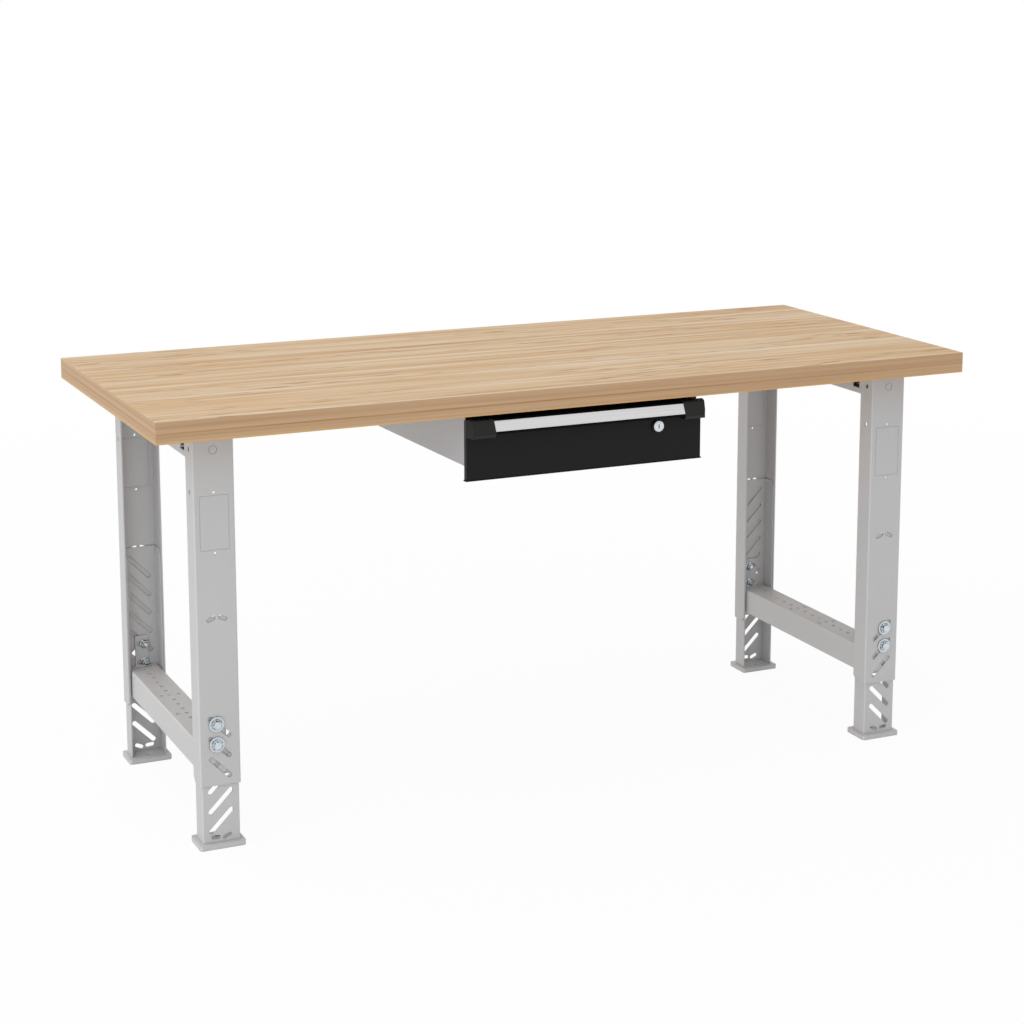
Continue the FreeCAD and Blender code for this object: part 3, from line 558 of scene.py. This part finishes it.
class BENCH_OT_hardware(bpy.types.Operator):
    """Make the height bolts with their washers and nuts, and the screws under the worktop"""
    bl_idname = "bench.hardware"
    bl_label = "Hardware"

    def execute(self, context):
        look = context.scene.bench_steel
        sizes = context.scene.bench_hardware
        # Bright zinc: a pale cold sheen, clouded, and painted shade where head, flange and washer
        # meet
        zinc = plated_metal(
            "Blue-white zinc plate", look.zinc, look.zinc_dull, rough=0.28,
            sizes=(look.zinc_mark,) * 3, shut=1.12, clear=1.28, uneven=0.9)
        for group in ("a", "b"):
            self.leg_hardware(group, sizes, zinc)
        self.screws("worktop_screws", sizes.worktop_screw, sizes.screw_spread, sizes, zinc)
        self.screws("housing_screws", sizes.housing_screw, 0.0, sizes, zinc)
        return {"FINISHED"}

    def leg_hardware(self, group, sizes, zinc):
        """Bolts, washers and nuts of two diagonally opposite legs, turned about the bolts' axes."""
        low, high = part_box("leg_bolts_" + group)
        reach = sizes.flange / 2
        left, right = low.x + reach, high.x - reach
        front_x, rear_x = (left, right) if group == "a" else (right, left)
        whole = (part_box("leg_nuts_" + group)[0].y + sizes.nut + sizes.tail) - low.y
        kinds = {
            "bolts": bolt_rows(sizes, whole), "washers": washer_rows(sizes),
            "nuts": nut_rows(sizes)}
        for kind, rows in kinds.items():
            node = "leg_" + kind + "_" + group
            near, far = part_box(node)
            grids = []
            for z in (low.z + reach, high.z - reach):
                grids.append(turned(rows, (front_x, near.y, z), (0, 1, 0)))
                grids.append(turned(rows, (rear_x, far.y, z), (0, -1, 0)))
            piece = surface("height_" + kind + "_" + group, grids, zinc)
            put(piece, "bolts_" + group, "zinc", node)

    def screws(self, node, width, spread, sizes, zinc):
        """Screws driven up into the worktop at the corners of a node's box, paired by a spread."""
        low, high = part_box(node)
        reach = width / 2
        left, right = low.x + reach, high.x - reach
        rows = screw_rows(sizes, reach, high.z - low.z)
        columns = sorted({left, left + spread, right, right - spread})
        grids = [
            turned(rows, (x, y, low.z), (0, 0, 1))
            for x in columns for y in (low.y + reach, high.y - reach)]
        put(surface(node.replace("_", "_wood_"), grids, zinc), "bench", "zinc", node)


def put(piece, body, slot, *nodes):
    """Lets a piece ride on a body and stand for CAD nodes, which it hides. Its slot is not used."""
    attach(piece, body)
    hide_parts(*nodes)


def angles():
    """Angles of the columns round a turned piece, none on a corner of a hexagon."""
    return (np.arange(AROUND) + 0.5) * 2 * np.pi / AROUND


def hexagon(across):
    """Distance from the axis to a hexagon: half its width over the cosine of the angle from its
    flat's middle."""
    return across / 2 / np.cos(angles() % (np.pi / 3) - np.pi / 6)


def turned(rows, start, axis):
    """Turned surface for rows of (radius, depth): start + depth axis + r cos(a) x + r sin(a) side,
    where side is square to the axis and to x."""
    a = angles()
    r = np.array([np.broadcast_to(radius, a.shape) for radius, depth in rows])
    depth = np.array([np.broadcast_to(depth, a.shape) for radius, depth in rows])
    side = np.cross(axis, (1, 0, 0))
    spokes = np.cos(a)[:, None] * np.array((1, 0, 0)) + np.sin(a)[:, None] * side
    return np.array(start) + depth[..., None] * np.array(axis) + r[..., None] * spokes


def chamfered(across, start, direction):
    """Rows of a hexagon's chamfered end: the smaller of the hexagon and a cone, at each depth."""
    flats = hexagon(across)
    inner = across * CHAMFER_FROM
    depths = np.linspace(0, (flats.max() - inner) * CHAMFER_SLOPE, CHAMFER_ROWS)
    return [(np.minimum(flats, inner + d / CHAMFER_SLOPE), start + direction * d) for d in depths]


def collar(sizes, face, direction):
    """Rows of a flange: face at the clamped side, rim rounded, cone up to the hexagon."""
    rim, height = sizes.flange / 2, sizes.flange_height
    steps = [(rim * out, height * up) for out, up in FLANGE_RIM]
    steps += [(sizes.hexagon * CONE_END, height)]
    return [(r, face + direction * d) for r, d in steps]


def threaded(radius, pitch, start, end):
    """Rows of a screw thread: radius less a triangle wave of depth over pitch minus turns round."""
    depths = np.arange(start, end, pitch / THREAD_ROWS)
    wave = [np.abs((d / pitch - angles() / (2 * np.pi)) % 1 * 2 - 1) for d in depths]
    return [(radius - pitch / 2 * w, d) for w, d in zip(wave, depths)]


def bolt_rows(sizes, whole):
    """Flange bolt as rows of (radius, depth), from the middle of its head to its tip."""
    seat = sizes.head + sizes.flange_height
    radius = sizes.shank / 2
    thread = whole - sizes.tail - sizes.pitch
    rows = [(0, 0), (sizes.hexagon * FACE_ROW, 0)] + chamfered(sizes.hexagon, 0, 1)
    rows += [(hexagon(sizes.hexagon), sizes.head - FLANGE_STEP)]
    rows += collar(sizes, seat, -1)[::-1] + [(radius, seat), (radius, thread)]
    rows += threaded(radius, sizes.pitch, thread, whole - THREAD_STOP)
    rows += [(radius * share, whole - back) for share, back in BOLT_TIP]
    return rows + [(0, whole)]


def nut_rows(sizes):
    """Flange nut as rows of (radius, depth), its bore closing the profile."""
    bore, mouth = sizes.shank / 2, sizes.hexagon * NUT_MOUTH
    rows = [(bore, 0)] + collar(sizes, 0, 1)
    rows += [(hexagon(sizes.hexagon), sizes.flange_height + FLANGE_STEP)]
    rows += chamfered(sizes.hexagon, sizes.nut, -1)[::-1]
    return rows + [(mouth, sizes.nut), (bore, sizes.nut - sizes.nut_sink), (bore, 0)]


def washer_rows(sizes):
    """Stamped washer as rows of (radius, depth), rounded on the side that the punch entered."""
    bore, rim, height = sizes.washer_hole / 2, sizes.washer / 2, sizes.washer_height
    edge = sizes.washer_edge
    return [
        (bore, height), (bore, edge), (bore + edge, 0), *((rim - off, d) for off, d in WASHER_RIM),
        (rim, height), (bore, height),
    ]


def screw_rows(sizes, rim, whole):
    """Wood screw as rows of (radius, depth): dished hexagon, washer face, shank and point."""
    head, dish = sizes.screw_head, sizes.screw_dish
    across, shank, plate = rim * SCREW_ACROSS, rim * SCREW_SHANK, head * SCREW_PLATE
    return [
        (0, dish), (across * FACE_ROW, dish), (across * SCREW_DISH, 0), *chamfered(across, 0, 1),
        (hexagon(across), plate), *((rim * share, plate + d) for share, d in SCREW_RIM),
        (rim, head), (shank, head), (shank, whole - sizes.screw_point), (0, whole),
    ]


class BENCH_OT_drawer(bpy.types.Operator):
    """Finish the drawer, its housing and runners"""
    bl_idname = "bench.drawer"
    bl_label = "Drawer"

    def execute(self, context):
        look = context.scene.bench_steel
        grey = powder_coat(
            "Warm grey powder coat on sheet", look.housing, look, rough=0.5, specular=0.35)
        # Black sheet with a strong painted highlight along its edges
        black = powder_coat(
            "Black powder coat on sheet", look.black, look, rough=0.5, specular=0.18, edge_highlight_gain=2.2)
        # Darker than the drawer's black and almost without sheen: painted shade, so the handle's
        # hollow and the rail behind it read as a black gap
        deep = powder_coat(
            "Black powder coat and painted shade on profile", look.black_and_painted_shade, look, rough=0.55, specular=0.06,
            edge_highlight_gain=1.5)
        # Zinc on rolled strip: small dull patches, and greyer than the bolts
        steel = plated_metal(
            "Zinc-plated runner steel", look.runner, look.runner_dull, rough=0.34,
            sizes=(look.runner_across, look.runner_mark, look.runner_mark))
        finish_nodes(["drawer_housing"], grey)
        finish_nodes(["drawer_front", "drawer_tray"], black)
        finish_nodes(["drawer_handle", "housing_front_rail"], deep)
        finish_nodes(named("runner"), steel)
        return {"FINISHED"}


class BENCH_OT_handle(bpy.types.Operator):
    """Finish the handle's strip and end caps"""
    bl_idname = "bench.handle"
    bl_label = "Handle"

    def execute(self, context):
        look = context.scene.bench_drawer
        # Brushed along its length: a pale, even sheen with faint long lines
        strip = plated_metal(
            "Brushed anodised aluminium", look.strip, look.strip_dull, rough=0.42,
            sizes=(look.brush_length, look.brush, look.brush))
        # Moulded with a fine grain: softer and a little lighter than the drawer's black, with a
        # painted highlight along its edges
        plastic = powder_coat(
            "Moulded black ABS", look.plastic, context.scene.bench_steel, rough=0.46,
            specular=0.25, edge_highlight_gain=2.0)
        finish_nodes(["handle_strip"], strip)
        finish_nodes(named("handle_end_cap"), plastic)
        return {"FINISHED"}


class BENCH_OT_lock(bpy.types.Operator):
    """Make the lock's ring and plug, and finish its cam and nut"""
    bl_idname = "bench.lock"
    bl_label = "Lock"

    def execute(self, context):
        look = context.scene.bench_drawer
        sizes = context.scene.bench_hardware
        # Satin chrome: the brightest metal here, with marks too small to see one by one
        chrome = plated_metal(
            "Satin chrome plate", look.chrome, look.chrome_dull, rough=0.2,
            sizes=(look.chrome_mark,) * 3)
        # Lacquered brass: glossier than the drawer, with a painted highlight on the ring's rim
        black = powder_coat(
            "Black lacquer on brass", look.ring, context.scene.bench_steel, rough=0.35,
            specular=0.3, edge_highlight_gain=2.5)
        finish_nodes(["lock_cam", "lock_nut"], chrome)
        ring = surface("lock_ring", [self.ring(sizes)], black)
        put(ring, "drawer", "lock_black", "lock_case")
        plug = surface("lock_plug_face", [self.plug(sizes)], chrome)
        put(plug, "lock", "lock_chrome", "lock_plug")
        return {"FINISHED"}

    def ring(self, sizes):
        """Ring with a rounded rim and the barrel behind it, as rows of (radius, depth) closed by
        the bore."""
        low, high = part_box("lock_case")
        rim, whole = (high.x - low.x) / 2, high.y - low.y
        wall, bore, barrel = rim - sizes.lock_wall, sizes.lock_bore / 2, sizes.lock_barrel / 2
        proud = sizes.lock_ring
        floor = proud - sizes.lock_floor
        rows = [
            (bore, floor), (wall, floor), *((wall + off, d) for off, d in RING_MOUTH),
            *((rim - off, d) for off, d in RING_RIM), (rim, proud), (barrel, proud),
            (barrel, whole), (bore, whole), (bore, floor),
        ]
        return turned(rows, ((low.x + high.x) / 2, low.y, (low.z + high.z) / 2), (0, 1, 0))

    def plug(self, sizes):
        """Plug face from a key slot out to a circle, then its shaft: r cos(a) across, and r sin(a)
        up plus, on the slot's rows, half the slot's straight length up or down."""
        low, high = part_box("lock_plug")
        middle = np.array(((low.x + high.x) / 2, low.y, (low.z + high.z) / 2))
        rim, whole = (high.x - low.x) / 2, high.y - low.y
        shaft = sizes.plug_shaft / 2
        a = angles()
        half, deep, edge = sizes.key_slot_width / 2, sizes.key_slot_depth, sizes.key_slot_edge
        spread = (sizes.key_slot / 2 - half) * np.sign(np.sin(a))
        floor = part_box("lock_case")[0].y + sizes.lock_ring - sizes.lock_floor - low.y
        back = floor - sizes.plug_gap
        slots = [(half, deep), (half, edge), (half + edge, 0)]
        rounds = [(rim * share, d) for share, d in PLUG_FACE]
        rounds += [(rim, back), (shaft, back), (shaft, whole), (0, whole)]
        shares = [0] + [1] * len(slots) + [0] * len(rounds)
        rows = [
            np.stack([r * np.cos(a), np.full_like(a, d), r * np.sin(a) + share * spread], -1)
            for (r, d), share in zip([(0, deep)] + slots + rounds, shares)]
        return middle + np.array(rows)


class BENCH_OT_stage(bpy.types.Operator):
    """Set up the floor, light and camera"""
    bl_idname = "bench.stage"
    bl_label = "Stage"

    def execute(self, context):
        scene = context.scene
        look = scene.bench_stage
        self.floor(look)
        self.light(scene, look)
        data = bpy.data.cameras.new("camera")
        data.lens = look.lens
        data.shift_x = look.shift_x
        data.shift_y = look.shift_y
        camera = bpy.data.objects.new("camera", data)
        camera.location = look.eye
        camera.rotation_euler = Euler((math.pi / 2 - look.pitch, 0, -look.heading))
        scene.collection.objects.link(camera)
        scene.camera = camera
        scene.view_settings.view_transform = "Standard"
        return {"FINISHED"}

    def floor(self, look):
        """Flat round floor: x = r cos(a), y = r sin(a), z = 0."""
        r = np.array([0.0, 1.0]) * look.floor_radius
        a = np.arange(FLOOR_SIDES) * 2 * np.pi / FLOOR_SIDES
        level = np.zeros((r.size, a.size))
        grid = np.stack([np.outer(r, np.cos(a)), np.outer(r, np.sin(a)), level], -1)
        floor = surface("floor", [grid], studio_paper(look))

    def light(self, scene, look):
        """Soft light all round, weaker where a dark screen stands on the right, and one large soft
        light overhead. The camera and reflections see the surroundings as plain white."""
        world = bpy.data.worlds.new("studio")
        world.use_nodes = True
        tree = world.node_tree
        tree.nodes.clear()
        direction = add(tree, "ShaderNodeTexCoord").outputs["Generated"]
        toward = add(tree, "ShaderNodeSeparateXYZ", {0: direction}).outputs
        screened = add(tree, "ShaderNodeMapRange", {
            "Value": toward["X"], "From Min": look.screen_from, "From Max": look.screen_full,
            "To Min": look.sky, "To Max": look.sky_right}, interpolation_type="SMOOTHSTEP")
        strength = add(tree, "ShaderNodeMapRange", {
            "Value": seen_directly(tree), "To Min": screened, "To Max": 1.0})
        sky = add(tree, "ShaderNodeBackground", {"Color": (1, 1, 1, 1), "Strength": strength})
        add(tree, "ShaderNodeOutputWorld", {"Surface": sky})
        scene.world = world
        data = bpy.data.lights.new("key", "AREA")
        data.size = look.key_size
        data.energy = look.key_power
        key = bpy.data.objects.new("key", data)
        key.location = look.key_place
        middle = (cad_low + cad_high) / 2
        key.rotation_euler = (middle - key.location).to_track_quat("-Z", "Y").to_euler()
        scene.collection.objects.link(key)


def seen_directly(tree):
    """1 for rays from the camera, and for reflected and refracted rays."""
    path = add(tree, "ShaderNodeLightPath").outputs
    mirrored = add(tree, "ShaderNodeMath", {
        0: path["Is Glossy Ray"], 1: path["Is Transmission Ray"]}, operation="MAXIMUM")
    return add(tree, "ShaderNodeMath", {
        0: path["Is Camera Ray"], 1: mirrored}, operation="MAXIMUM")


def studio_paper(look):
    """Matt studio paper: near white with the object's soft shadow, and it reflects plain light."""
    material, tree, coords, noise = begin("White studio paper", fibre=((look.fibre,) * 3, 2.0))
    paper = add(tree, "ShaderNodeMix", {
        0: noise["fibre"], 6: rgba(look.floor, PAPER_GAIN), 7: rgba(look.floor)}, data_type="RGBA")
    shader = add(tree, "ShaderNodeBsdfPrincipled", {
        "Base Color": paper, "Roughness": 1.0, "Specular IOR Level": 0.0})
    white = add(tree, "ShaderNodeEmission", {"Color": (1, 1, 1, 1), "Strength": 1.0})
    reach = add(tree, "ShaderNodeVectorMath", {0: coords}, operation="LENGTH")
    plain = add(tree, "ShaderNodeMapRange", {
        "Value": reach, "From Min": look.floor_near, "From Max": look.floor_far,
        "To Min": look.floor_white, "To Max": 1.0})
    share = add(tree, "ShaderNodeMath", {0: seen_directly(tree), 1: plain}, operation="MULTIPLY")
    both = add(tree, "ShaderNodeMixShader", {0: share, 1: shader, 2: white})
    add(tree, "ShaderNodeOutputMaterial", {"Surface": both})
    return material


def surface(name, grids, material):
    """Mesh object from grids of points, rows along a profile and columns round it, each closed
    round, with doubles merged and faces turned outwards."""
    points, faces, start = [], [], 0
    for grid in grids:
        rows, columns = grid.shape[:2]
        index = start + np.arange(rows * columns).reshape(rows, columns)
        ahead = np.roll(index, -1, axis=1)
        faces.append(np.stack([index[:-1], ahead[:-1], ahead[1:], index[1:]], -1).reshape(-1, 4))
        points.append(grid.reshape(-1, 3))
        start += rows * columns
    mesh = bpy.data.meshes.new(name)
    mesh.from_pydata(np.concatenate(points), [], np.concatenate(faces))
    shell = bmesh.new()
    shell.from_mesh(mesh)
    bmesh.ops.remove_doubles(shell, verts=shell.verts, dist=1e-7)
    bmesh.ops.recalc_face_normals(shell, faces=shell.faces)
    shell.to_mesh(mesh)
    shell.free()
    mesh.shade_smooth()
    mesh.set_sharp_from_angle(angle=SHARP_ANGLE)
    mesh.materials.append(material)
    made = bpy.data.objects.new(name, mesh)
    bpy.context.scene.collection.objects.link(made)
    return made


class BENCH_PT_panel(bpy.types.Panel):
    """Pieces of the workbench"""
    bl_idname = "BENCH_PT_panel"
    bl_label = "Workbench"
    bl_space_type = "VIEW_3D"
    bl_region_type = "UI"
    bl_category = "Workbench"

    def draw(self, context):
        for operator in OPERATORS:
            self.layout.operator(operator.bl_idname)


LOOKS = {
    "bench_wood": WoodLook, "bench_steel": SteelLook, "bench_drawer": DrawerLook,
    "bench_hardware": HardwareSizes, "bench_stage": StageLook,
}
OPERATORS = (
    BENCH_OT_worktop, BENCH_OT_frame, BENCH_OT_hardware, BENCH_OT_drawer, BENCH_OT_handle,
    BENCH_OT_lock, BENCH_OT_stage,
)
CLASSES = (*LOOKS.values(), *OPERATORS, BENCH_PT_panel)


def register():
    for item in CLASSES:
        bpy.utils.register_class(item)
    for name, look in LOOKS.items():
        setattr(bpy.types.Scene, name, bpy.props.PointerProperty(type=look))


def unregister():
    for name in LOOKS:
        delattr(bpy.types.Scene, name)
    for item in reversed(CLASSES):
        bpy.utils.unregister_class(item)


def main():
    register()
    bpy.ops.bench.worktop()
    bpy.ops.bench.frame()
    bpy.ops.bench.hardware()
    bpy.ops.bench.drawer()
    bpy.ops.bench.handle()
    bpy.ops.bench.lock()
    bpy.ops.bench.stage()


if __name__ == "__main__":
    main()
